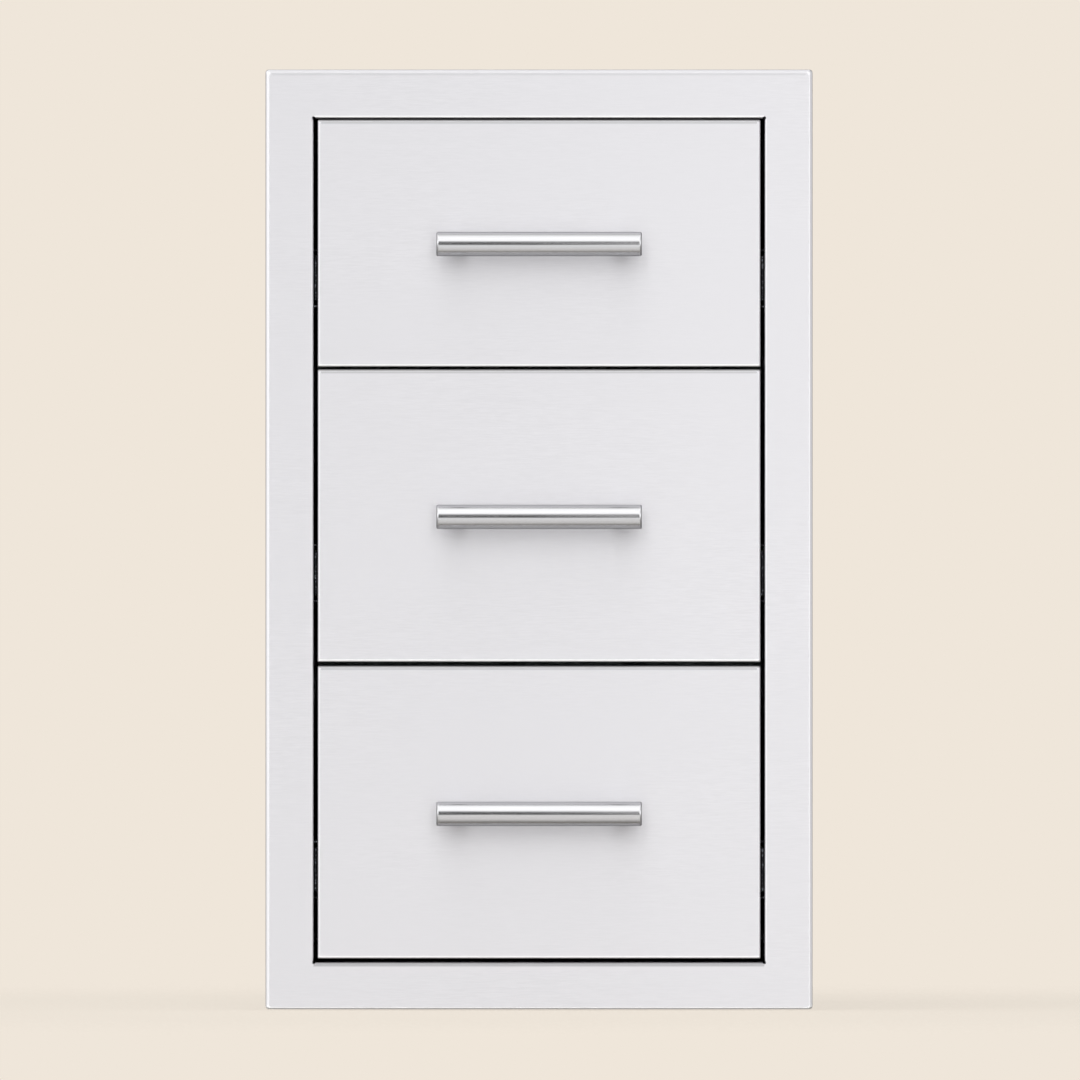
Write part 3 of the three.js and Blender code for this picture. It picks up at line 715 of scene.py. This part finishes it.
class UNIT_OT_drawer_fronts(Operator):
    """Builds the outer skin of each drawer front: a pan folded from one sheet, its rim back"""

    bl_idname = "drawer_unit.drawer_fronts"
    bl_label = "Drawer fronts"

    def execute(self, context):
        sizes = context.scene.unit_fronts
        sheet, depth, edge = sizes.sheet, sizes.depth, sizes.edge
        fold = np.array([sizes.side, sizes.bottom, sizes.top])
        for drawer in DRAWERS:
            low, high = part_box(f"{drawer}_front_skin")
            face, rear = low.y, high.y
            innermost = 0.98 * min(high.x - low.x, high.z - low.z) / 2

            def at(insets, y, whole=(low.x, high.x, low.z, high.z)):
                return rim(whole, insets, sizes.tip, y)

            over, under = folded(at, fold, face, depth, sheet)
            rings = [at(inset, face) for inset in np.linspace(innermost, 8 * MM, 13)]
            rings += [at(fold + k * SUPPORT, face) for k in (7, 3, 1)] + over
            rings += [at(0, face + depth + SUPPORT), at(0, rear - edge)]
            rings += [at(edge - edge * c, rear - edge + edge * s) for c, s in arc(3)]
            rings += [at(sheet - edge + edge * s, rear - edge + edge * c) for c, s in arc(3)]
            rings += [at(sheet, face + depth + SUPPORT), *under]
            rings += [at(6 * MM, face + sheet), at(innermost, face + sheet)]
            shape = shell(np.array(rings))
            piece = make(f"{drawer}_brushed_skin", shape, "brushed", drawer, f"{drawer}_front_skin")
            reach = [(sizes.hole, face - CLEARANCE), (sizes.hole, face + CLEARANCE)]
            screws = [extent(f"{drawer}_{side}_handle_screw")[2] for side, _ in SIDES]
            holes = [turned(reach, 24, (0, 1, 0), (screw.x, 0, screw.z)) for screw in screws]
            cut_away(piece, together(holes))
            # Painted shade on the top fold and the flat below it, and a painted highlight on the
            # bottom fold with a whitened, raised strip on the flat above it. The top's flat shade
            # ends 1.1 mm before the side folds.
            reach = high.x - sizes.side - 1.1 * MM
            edges = [(high.z, reach, -1.0, -0.5, WIDE), (low.z, high.x, 1.0, 0.55, NARROW)]
            mark_folds(piece, face, depth, edges)
        return {"FINISHED"}


class UNIT_OT_liners_and_trays(Operator):
    """Joins the triangles of the inner skins and the trays, so that their folds shade smooth"""

    bl_idname = "drawer_unit.liners_and_trays"
    bl_label = "Liners and trays"

    def execute(self, context):
        for drawer in DRAWERS:
            merged_copy(f"{drawer}_front_liner", f"{drawer}_folded_liner", "mill", drawer)
            merged_copy(f"{drawer}_tray", f"{drawer}_folded_tray", "mill", drawer)
        return {"FINISHED"}


class UNIT_OT_handle_bars(Operator):
    """Builds the bar of each handle: a round bar with rounded ends"""

    bl_idname = "drawer_unit.handle_bars"
    bl_label = "Handle bars"

    def execute(self, context):
        sizes = context.scene.unit_handles
        for drawer in DRAWERS:
            node = f"{drawer}_handle_bar"
            low, high, centre = extent(node)
            radius, r = (high.z - low.z) / 2, sizes.rounding
            half, flat = (high.x - low.x) / 2 + sizes.overhang, radius - r
            profile = [(flat * k / 4, half) for k in range(1, 4)]
            profile += [(flat + r * s, half - r + r * c) for c, s in arc(8)]
            profile += [(radius, half - r - 0.5 * MM)]
            profile += [(radius, x) for x in np.linspace(half - r - 8 * MM, 0, 9)[:-1]]
            profile += [(radius_here, -x) for radius_here, x in profile[::-1]]
            shape = turned(profile, sizes.sides, (1, 0, 0), centre)
            piece = make(f"{drawer}_satin_bar", shape, "bar", drawer, node)
            past = np.abs(read(piece.data)[:, 0] - centre.x) - (half - r)
            # The turned ends: rougher, and with painted shade in their colour
            store(piece.data, "turned_end", np.clip(past / (0.15 * MM), 0, 1) * (past < 0.95 * r))
        return {"FINISHED"}


class UNIT_OT_handle_posts(Operator):
    """Builds the posts: round bars whose end is saddled onto the bar with a small weld bead"""

    bl_idname = "drawer_unit.handle_posts"
    bl_label = "Handle posts"

    def execute(self, context):
        sizes = context.scene.unit_handles
        radius, chamfer, flare = sizes.post_radius, sizes.post_chamfer, sizes.post_flare
        # Rings on the bar, y = its axis + sqrt(R^2 - (r sin a)^2), and how far behind it they lie
        sunk, neck, mouth = -0.25 * MM, 6 * MM, 2.4 * MM
        saddle = [(r, sunk) for r in (1.5 * MM, 3.5 * MM, radius - 0.6 * MM, radius + flare)]
        saddle += [(radius + flare * (1 - s), flare * (1 - c)) for c, s in arc(5)]
        angle = circle(48)
        for drawer, side, _ in DRAWER_SIDES:
            bar_low, bar_high, bar_centre = extent(f"{drawer}_handle_bar")
            axis, bar = bar_centre.y, (bar_high.z - bar_low.z) / 2
            node = f"{drawer}_{side}_handle_post"
            _, high, centre = extent(node)
            foot = high.y
            profile = [
                (r, axis + np.sqrt(bar**2 - (r * np.sin(angle)) ** 2) + behind)
                for r, behind in saddle
            ]
            profile += [(radius, axis + bar + neck), (radius, foot - chamfer - SUPPORT)]
            profile += [(radius, foot - chamfer), (radius - chamfer, foot), (mouth, foot)]
            make(f"{drawer}_{side}_post", round_y(centre, profile, angle), "bar", drawer, node)
        return {"FINISHED"}


class UNIT_OT_handle_screws(Operator):
    """Builds the handles' screws: a button head with a hexagon socket on a plain shank"""

    bl_idname = "drawer_unit.handle_screws"
    bl_label = "Handle screws"

    def execute(self, context):
        sizes = context.scene.unit_fasteners
        shank, socket, angle = sizes.shank, sizes.socket_depth, circle(48)
        # A hexagon's radius is half its width across flats over cos a, with a from -30 to 30
        hexagon = sizes.socket / 2 / np.cos((angle + math.pi / 6) % (math.pi / 3) - math.pi / 6)
        for drawer, side, _ in DRAWER_SIDES:
            node = f"{drawer}_{side}_handle_screw"
            low, high, centre = extent(node)
            head, top, tip = (high.x - low.x) / 2, high.y, low.y
            seat, crown = top - sizes.head, 0.45 * head
            dome = seat + 0.5 * MM
            profile = [
                (0.4 * hexagon, top - socket - 0.2 * MM),
                (0.96 * hexagon, top - socket - 0.1 * MM),
                (hexagon, top - socket),
                (hexagon, top - 0.15 * MM),
                (hexagon + 0.15 * MM, top),
                (crown, top - 0.02 * MM),
            ]
            quarter = arc(6, math.radians(20))
            profile += [(crown + (head - crown) * s, dome + (top - dome) * c) for c, s in quarter]
            profile += [(head, seat + 0.1 * MM), (head - 0.1 * MM, seat), (shank + 0.3 * MM, seat)]
            profile += [(shank, seat - 0.3 * MM), (shank, tip + 0.5 * MM), (shank - 0.5 * MM, tip)]
            make(f"{drawer}_{side}_screw", round_y(centre, profile, angle), "zinc", drawer, node)
        return {"FINISHED"}


class UNIT_OT_rails(Operator):
    """Joins the triangles of the slides' rails, so that their folds shade smooth"""

    bl_idname = "drawer_unit.rails"
    bl_label = "Rails"

    def execute(self, context):
        for drawer, side, _ in DRAWER_SIDES:
            link = f"{drawer.removesuffix('_drawer')}_{side}_link"
            for rail, body in (("cabinet", "cabinet"), ("link", link), ("drawer", drawer)):
                node = f"{drawer}_{side}_{rail}_rail"
                merged_copy(node, f"{node}_profile", "zinc", body)
        return {"FINISHED"}


class UNIT_OT_ball_cages(Operator):
    """Builds the ball cages: a thin channel whose edges bulge round its two rows of balls"""

    bl_idname = "drawer_unit.ball_cages"
    bl_label = "Ball cages"

    def execute(self, context):
        sizes = context.scene.unit_slides
        sheet, balls, bend, bulge = sizes.cage_sheet, sizes.balls, 0.3 * MM, 0.8 * MM
        half_turn = np.linspace(0, math.pi, 7)[1:-1]
        for drawer, side, sign in DRAWER_SIDES:
            for cage, radius in (("outer", sizes.outer_ball), ("inner", sizes.inner_ball)):
                body = f"{drawer.removesuffix('_drawer')}_{side}_{cage}_cage"
                node = f"{drawer}_{side}_{cage}_ball_cage"
                low, high, centre = extent(node)
                near, far = sorted((abs(low.x), abs(high.x)))
                race, web = (high.z - low.z) / 2 - radius, far - sheet / 2
                path = [(near, -race), (web, -race), (web, race), (near, race)]
                section = folded_section(path, sheet, bend)
                along = np.linspace(low.y, high.y, 8 * balls + 1)[:, None]
                # Between two balls the edges stand back, by bulge * (1 + cos of the phase) / 2
                phase = 2 * math.pi * (along - low.y) / (high.y - low.y) * balls
                edge = (section[:, 0] - near) < 0.01 * MM
                x = section[:, 0] + edge * (1 + np.cos(phase)) / 2 * bulge
                y, z = along + 0 * x, centre.z + section[:, 1] + 0 * x
                strip = shell(np.stack([sign * x, y, z], -1))
                make(f"{drawer}_{side}_{cage}_cage_strip", strip, "cage", body, node)
                profile = [(radius * math.sin(a), radius * math.cos(a)) for a in half_turn]
                ball, step = turned(profile, 10, (0, 1, 0)), (high.y - low.y) / balls
                x = sign * (near + radius + sizes.cage_lip)
                ys = [low.y + (k + 0.5) * step for k in range(balls)]
                places = [(x, y, centre.z + up * race) for up in (-1, 1) for y in ys]
                name = f"{drawer}_{side}_{cage}_balls"
                make(name, copies(ball, places), "ball", body, smooth_angle=80)
        return {"FINISHED"}


def set_rivets(name, sizes, axis, depth, places, body):
    """Blind rivets whose heads look along an axis: a dome of its radius and height on a shank of
    that depth, with the pit that the pulled mandrel leaves."""
    head, rise, shank = sizes.rivet_head, sizes.rivet_rise, sizes.rivet_shank
    pit = 0.35 * head
    profile = [(0.5 * pit, rise - 0.35 * MM), (pit, rise - 0.3 * MM), (pit, rise - 0.05 * MM)]
    profile += [(pit + (head - pit) * s, 0.25 * rise + 0.75 * rise * c) for c, s in arc(5)]
    profile += [(head, 0.0), (shank, 0.0), (shank, -depth + 0.3 * MM), (shank - 0.3 * MM, -depth)]
    make(name, copies(turned(profile, 20, axis), places), "zinc", body)


class UNIT_OT_rail_rivets(Operator):
    """Sets the rails' rivets: flush inside the rail, domed outside the cabinet and in the tray"""

    bl_idname = "drawer_unit.rail_rivets"
    bl_label = "Rail rivets"

    def execute(self, context):
        sizes, slides = context.scene.unit_fasteners, context.scene.unit_slides
        holes = (slides.first_hole, slides.second_hole, slides.third_hole)
        in_rail, tray_wall = 1.1 * MM, 1.3 * MM
        for drawer, side, sign in DRAWER_SIDES:
            for rail, body in (("cabinet", "cabinet"), ("drawer", drawer)):
                low, high, centre = extent(f"{drawer}_{side}_{rail}_rail")
                near, far = sorted((abs(low.x), abs(high.x)))
                wall_low, wall_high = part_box(f"{side}_side_panel")
                if rail == "cabinet":
                    x, way = max(abs(wall_low.x), abs(wall_high.x)), sign
                    depth = x - (far - in_rail)
                else:
                    x, way = near - tray_wall, -sign
                    depth = near + in_rail - x
                ys = [low.y + hole / slides.rail * (high.y - low.y) for hole in holes]
                name = f"{drawer}_{side}_{rail}_rail_rivets"
                places = [(sign * x, y, centre.z) for y in ys]
                set_rivets(name, sizes, (way, 0, 0), depth, places, body)
        return {"FINISHED"}


class UNIT_OT_cabinet_panels(Operator):
    """Joins the triangles of the cabinet's panels and sets the rivets that hold them together"""

    bl_idname = "drawer_unit.cabinet_panels"
    bl_label = "Cabinet panels"

    def execute(self, context):
        sizes = context.scene.unit_fasteners
        for node in PANELS:
            merged_copy(node, f"{node}_sheet", "mill", "cabinet")
        low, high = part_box("right_side_panel")
        rear_low, rear_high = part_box("rear_panel")
        # How far the rivets are from a panel's edge, and the first and last of a row from its ends
        inset, front, rear, end, side_end = 7 * MM, 60 * MM, 40 * MM, 45 * MM, 60 * MM
        depth = 2.1 * MM
        ys = np.linspace(low.y + front, high.y - rear, 5)
        for side, sign in SIDES:
            places = [(sign * high.x, y, z) for y in ys for z in (low.z + inset, high.z - inset)]
            set_rivets(f"{side}_panel_rivets", sizes, (sign, 0, 0), depth, places, "cabinet")
        zs = np.linspace(rear_low.z + end, rear_high.z - end, 6)
        xs = np.linspace(rear_low.x + side_end, rear_high.x - side_end, 4)
        levels = (rear_low.z + inset, rear_high.z - inset)
        places = [(sign * (high.x - inset), rear_high.y, z) for _, sign in SIDES for z in zs]
        places += [(x, rear_high.y, z) for x in xs for z in levels]
        set_rivets("rear_panel_rivets", sizes, (0, 1, 0), depth, places, "cabinet")
        return {"FINISHED"}


class UNIT_OT_spot_welds(Operator):
    """Marks the spot welds at the corners of the trays: shallow domes with heat tint"""

    bl_idname = "drawer_unit.spot_welds"
    bl_label = "Spot welds"

    def execute(self, context):
        radius, rise = context.scene.unit_fasteners.weld, 0.12 * MM
        profile = [(radius * s, rise * c) for c, s in arc(4)][1:] + [(radius, -0.2 * MM)]
        lip, from_corner = 5 * MM, 9 * MM
        for drawer in DRAWERS:
            low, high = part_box(f"{drawer}_tray")
            ys = (low.y + from_corner, high.y - lip - from_corner)
            zs = np.linspace(low.z + 18 * MM, high.z - 22 * MM, 4)
            shells = []
            for _, sign in SIDES:
                mark = turned(profile, 16, (sign, 0, 0))
                shells.append(copies(mark, [(sign * (high.x - lip), y, z) for y in ys for z in zs]))
            make(f"{drawer}_tray_welds", together(shells), "weld", drawer)
        return {"FINISHED"}


class UNIT_OT_rail_buffers(Operator):
    """Builds the rubber buffers at the rear of the cabinet rails"""

    bl_idname = "drawer_unit.rail_buffers"
    bl_label = "Rail buffers"

    def execute(self, context):
        # A block with round edges: half its size times powers of (cos u cos v, sin u, cos u sin v)
        half, power = (3.4 * MM, 3.6 * MM, 9 * MM), 0.35
        u = np.linspace(-math.pi / 2, math.pi / 2, 13)[1:-1, None]
        v = np.linspace(-math.pi, math.pi, 32, endpoint=False)[None]
        ways = (np.cos(u), np.cos(v)), (np.sin(u), 1 + 0 * v), (np.cos(u), np.sin(v))
        signed = [[np.sign(way) * np.abs(way) ** power for way in pair] for pair in ways]
        xyz = [size * a * b for size, (a, b) in zip(half, signed, strict=True)]
        block = shell(np.stack(xyz, -1))
        places = []
        for drawer, side, sign in DRAWER_SIDES:
            low, high, centre = extent(f"{drawer}_{side}_cabinet_rail")
            web = max(abs(low.x), abs(high.x)) - 1.2 * MM
            places.append((sign * (web - half[0]), high.y - 5 * MM, centre.z))
        make("rail_buffers", copies(block, places), "rubber", "cabinet")
        return {"FINISHED"}


# The studio's brightness by elevation in degrees: straight ahead, and everywhere else
AHEAD = (
    (-90, 0.10), (-77, 0.22), (-66, 0.46), (-55, 0.66), (-44, 0.74), (-30, 0.80), (-14, 0.84),
    (-5, 0.03), (15, 0.04), (25, 0.64), (31, 1.20), (45, 1.28), (57, 1.28), (66, 1.24),
    (77, 1.10), (90, 0.84),
)
AROUND = (
    (-90, 0.26), (-66, 0.30), (-44, 0.32), (-30, 0.38), (-10, 0.82), (5, 2.10), (15, 2.50),
    (24, 2.10), (34, 1.36), (45, 0.96), (57, 1.10), (77, 1.80), (90, 1.50),
)
# And what it is scaled by, from the far left (0) to the far right (1) and from ahead (0) to behind
ACROSS = (
    (0.0, 0.62), (0.09, 0.72), (0.15, 0.90), (0.32, 0.94), (0.42, 1.05), (0.50, 1.03),
    (0.58, 1.00), (0.68, 0.72), (0.82, 0.45), (1.0, 0.60),
)
BEHIND = ((0.0, 1.0), (0.25, 0.47), (0.5, 0.34))
# Each soft box: name, place, what it looks at, its sizes and its power in watts
LAMPS = (
    ("right_softbox", (0.7, -2.1, 0.5), (0.0, 0.0, 0.2), (1.4, 1.2), 1.35),
    ("left_softbox", (-1.6, -0.9, 1.9), (0.0, 0.1, 0.35), (1.2, 1.2), 2.0),
)


class UNIT_OT_stage(Operator):
    """Makes the camera, the floor, the lamps and the studio round the object"""

    bl_idname = "drawer_unit.stage"
    bl_label = "Stage"

    def execute(self, context):
        settings, scene = context.scene.unit_stage, context.scene
        scene.view_settings.view_transform = "Standard"
        low, _, centre = extent("face_frame")
        camera = put("camera", bpy.data.cameras.new("camera"))
        camera.data.sensor_width = 36.0
        camera.data.lens = camera.data.sensor_width * settings.distance / settings.view_width
        camera.location = (0.75 * MM, low.y - settings.distance, centre.z - 0.5 * MM)
        camera.rotation_euler = (math.pi / 2, 0.0, 0.0)
        camera.data.clip_start, camera.data.clip_end = 0.1, 100.0
        scene.camera = camera
        self.floor(settings, CAD_BOX[0].z - settings.floor_drop)
        self.world(scene, settings)
        self.lamps()
        return {"FINISHED"}

    def floor(self, settings, level):
        """A disc, x = r cos a and y = r sin a, with r from its middle to its radius. Its paint is
        thin, so that the backdrop shows through it, and fades out with r, but it still takes
        shadow."""
        centre, edge = (0.0, settings.floor_centre, level), settings.floor_radius
        radii, angle = np.linspace(0.02, edge, 24)[:, None], circle(96)
        x, y = radii * np.cos(angle), radii * np.sin(angle) + centre[1]
        rows, columns = x.shape
        points = np.stack([x, y, level + 0 * x], -1).reshape(-1, 3)
        j = np.arange(columns)
        fan = np.stack([(j + 1) % columns, j, 0 * j + rows * columns], -1)
        faces = quads(rows, columns).tolist() + fan.tolist()
        floor = put("floor", (np.concatenate([points, [centre]]), faces))

        def pale_floor_paint(tree, base):
            place = add(tree, "TexCoord", output="Object")
            aside = add(tree, "VectorMath", {0: place, 1: centre}, operation="SUBTRACT")
            away = add(tree, "VectorMath", {0: aside}, "Value", operation="LENGTH")
            span = {"From Min": 0.45, "From Max": edge * 0.97, "To Min": 1.0, "To Max": 0.0}
            fade = add(tree, "MapRange", {0: away, **span}, interpolation_type="SMOOTHERSTEP")
            share = add(tree, "Math", {0: settings.shade, 1: fade}, operation="MULTIPLY")
            film = [add(tree, "BsdfTransparent"), add(tree, "BsdfDiffuse", {"Color": base})]
            film = add(tree, "MixShader", {0: share, 1: film[0], 2: film[1]})
            add(tree, "OutputMaterial", {"Surface": film})

        floor.data.materials.append(material_of(pale_floor_paint, settings.paint))

    def world(self, scene, settings):
        """A neutral studio by direction: brightest from 5 to 30 degrees up and again overhead,
        dimmer low down, to the right and behind, with a dark gap straight ahead at eye level, where
        the camera stands. Far behind the object lies the plain background."""
        scene.world = bpy.data.worlds.new("studio")
        scene.world.use_nodes = True
        tree = scene.world.node_tree
        tree.nodes.clear()
        place = add(tree, "TexCoord", output="Generated")
        way = add(tree, "SeparateXYZ", {"Vector": place}).node.outputs
        elevation = add(tree, "Math", {0: way["Z"]}, operation="ARCSINE")
        quarter = math.pi / 2
        height = add(tree, "MapRange", {0: elevation, "From Min": -quarter, "From Max": quarter})
        turn = add(tree, "MapRange", {0: way["X"], "From Min": -1.0})
        ramps = ((height, AHEAD, -90, 180), (height, AROUND, -90, 180))
        ramps += ((turn, ACROSS, 0, 1), (way["Y"], BEHIND, 0, 1))
        ahead, around, across, behind = (
            add(tree, "ValToRGB", {"Fac": x}, stops=[((k - low) / span, grey(v)) for k, v in table])
            for x, table, low, span in ramps
        )
        middle = add(tree, "Math", {0: way["X"]}, operation="ABSOLUTE")
        lit = blended(tree, middle, ahead, around, 0.035, 0.07)
        for scale in (across, behind):
            product = {"data_type": "RGBA", "blend_type": "MULTIPLY"}
            lit = add(tree, "Mix", {0: 1.0, 6: lit, 7: scale}, 2, **product)
        studio = add(tree, "Background", {"Color": lit, "Strength": 1.0})
        plain = add(tree, "Background", {"Color": settings.background, "Strength": 1.0})
        rays = add(tree, "LightPath").node.outputs
        far = add(tree, "MapRange", {0: way["Y"], "From Min": 0.6, "From Max": 0.8})
        bent = {0: rays["Is Glossy Ray"], 1: rays["Is Transmission Ray"]}
        mirror = add(tree, "Math", bent, operation="MAXIMUM")
        mirrored = add(tree, "Math", {0: mirror, 1: far}, operation="MULTIPLY")
        seen = add(tree, "Math", {0: rays["Is Camera Ray"], 1: mirrored}, operation="MAXIMUM")
        mix = add(tree, "MixShader", {0: seen, 1: studio, 2: plain})
        add(tree, "OutputWorld", {"Surface": mix})

    def lamps(self):
        """Two soft boxes: one in front and to the right, and a weak one high on the left. A lamp
        shines down its own Z, which is turned to the line from what it looks at to its place."""
        for name, place, aim, size, watts in LAMPS:
            lamp = bpy.data.lights.new(name, "AREA")
            lamp.shape, lamp.energy = "RECTANGLE", watts
            lamp.size, lamp.size_y = size
            holder = put(name, lamp)
            back = np.array(place) - np.array(aim)
            back /= np.linalg.norm(back)
            holder.location = place
            holder.rotation_euler = (math.acos(back[2]), 0.0, math.atan2(back[0], -back[1]))


class UNIT_PT_sidebar(Panel):
    """Lists the operators that build the unit"""

    bl_label = "Drawer unit"
    bl_space_type = "VIEW_3D"
    bl_region_type = "UI"
    bl_category = "Drawer unit"

    def draw(self, context):
        for group in GROUPS:
            box = self.layout.box()
            settings = getattr(context.scene, group)
            for name in settings.bl_rna.properties.keys():
                if name not in ("rna_type", "name"):
                    box.prop(settings, name)
        for operator in OPERATORS:
            self.layout.operator(operator.bl_idname)


OPERATORS = (
    UNIT_OT_stage,
    UNIT_OT_face_frame,
    UNIT_OT_drawer_fronts,
    UNIT_OT_liners_and_trays,
    UNIT_OT_handle_bars,
    UNIT_OT_handle_posts,
    UNIT_OT_handle_screws,
    UNIT_OT_rails,
    UNIT_OT_ball_cages,
    UNIT_OT_rail_rivets,
    UNIT_OT_cabinet_panels,
    UNIT_OT_spot_welds,
    UNIT_OT_rail_buffers,
)
CLASSES = (*GROUPS.values(), *OPERATORS, UNIT_PT_sidebar)


def register():
    for cls in CLASSES:
        bpy.utils.register_class(cls)
    for name, group in GROUPS.items():
        setattr(bpy.types.Scene, name, PointerProperty(type=group))


def unregister():
    for name in GROUPS:
        delattr(bpy.types.Scene, name)
    for cls in reversed(CLASSES):
        bpy.utils.unregister_class(cls)


def main():
    register()
    for operator in OPERATORS:
        group, name = operator.bl_idname.split(".")
        getattr(getattr(bpy.ops, group), name)()


if __name__ == "__main__":
    main()
